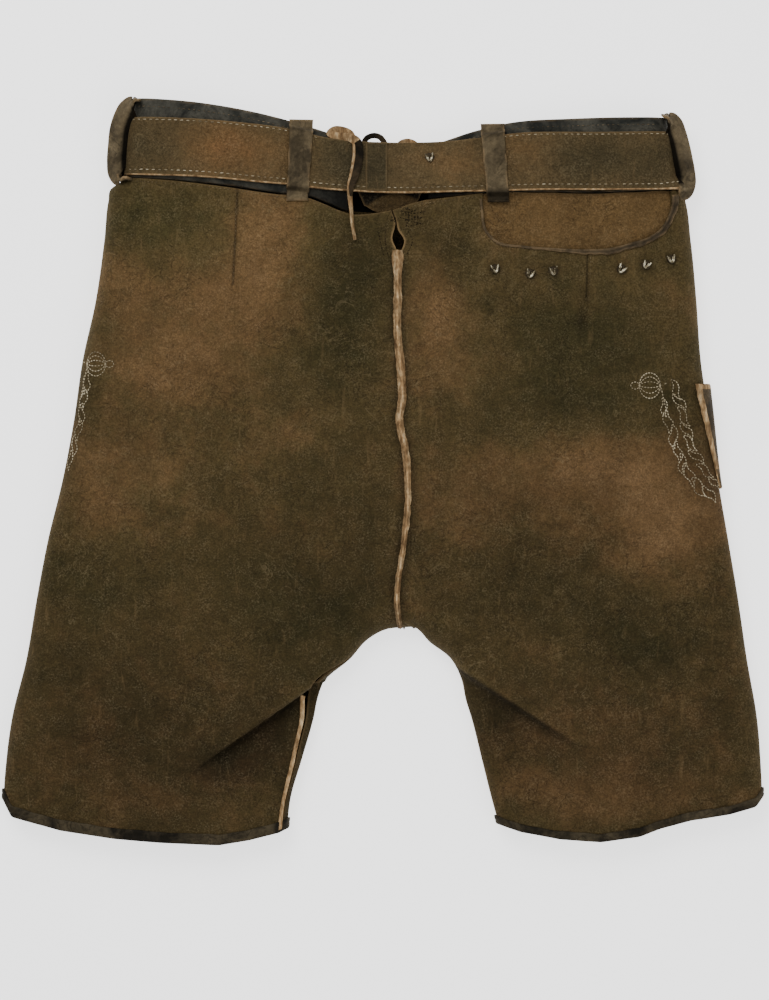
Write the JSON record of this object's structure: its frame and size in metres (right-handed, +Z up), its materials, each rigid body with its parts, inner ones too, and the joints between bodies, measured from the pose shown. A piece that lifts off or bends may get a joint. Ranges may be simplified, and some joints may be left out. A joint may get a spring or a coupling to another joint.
{
  "type": "lederhosen",
  "caption": "Short leather breeches with their own belt, lying flat with the back up: open waist and legs, curved hip pocket, raised centre welt and a lacing strap.",
  "frame": {"origin": "middle of the bounding box in plan, at the surface that the garment lies on", "axes": "+Z up from the surface, +X from the wearer's left side to the right, +Y from the hems to the waist"},
  "size_m": [0.5279, 0.5169, 0.0377],
  "materials": {
    "suede_back": "mottled olive and brown nubuck, matt",
    "suede_front": "mottled dark olive nubuck, matt",
    "waistband_leather": "worn dark grey leather, slightly shiny",
    "belt_leather": "brown nubuck with light stitching",
    "loop_leather": "worn brown leather",
    "pocket_leather": "lighter brown nubuck, matt",
    "raw_leather": "raw light tan cut edge",
    "binding_leather": "dark binding leather, slightly shiny",
    "lace_leather": "dark leather thong with a raw light edge",
    "old_metal": "dull old nickel"
  },
  "bodies": {
    "root": {"back_left": "suede_back", "back_right": "suede_back", "front_left": "suede_front", "front_right": "suede_front", "waistband_back_left": "waistband_leather", "waistband_back_right": "waistband_leather", "waistband_front": "waistband_leather", "notch_gusset": "pocket_leather", "pocket_panel": "pocket_leather", "pocket_binding": "binding_leather", "belt": "belt_leather", "belt_splice": "belt_leather", "belt_buckle": "old_metal", "loop_back_left": "loop_leather", "loop_back_right": "loop_leather", "loop_side_left": "loop_leather", "loop_side_right": "loop_leather", "welt_centre_back": "raw_leather", "welt_inseam_left": "raw_leather", "hem_binding_left": "binding_leather", "hem_binding_right": "binding_leather", "knife_pocket": "raw_leather", "lace": "lace_leather", "stud_1": "old_metal", "stud_2": "old_metal", "stud_3": "old_metal", "stud_4": "old_metal", "stud_5": "old_metal", "stud_6": "old_metal", "stud_7": "old_metal"}
  },
  "joints": []
}
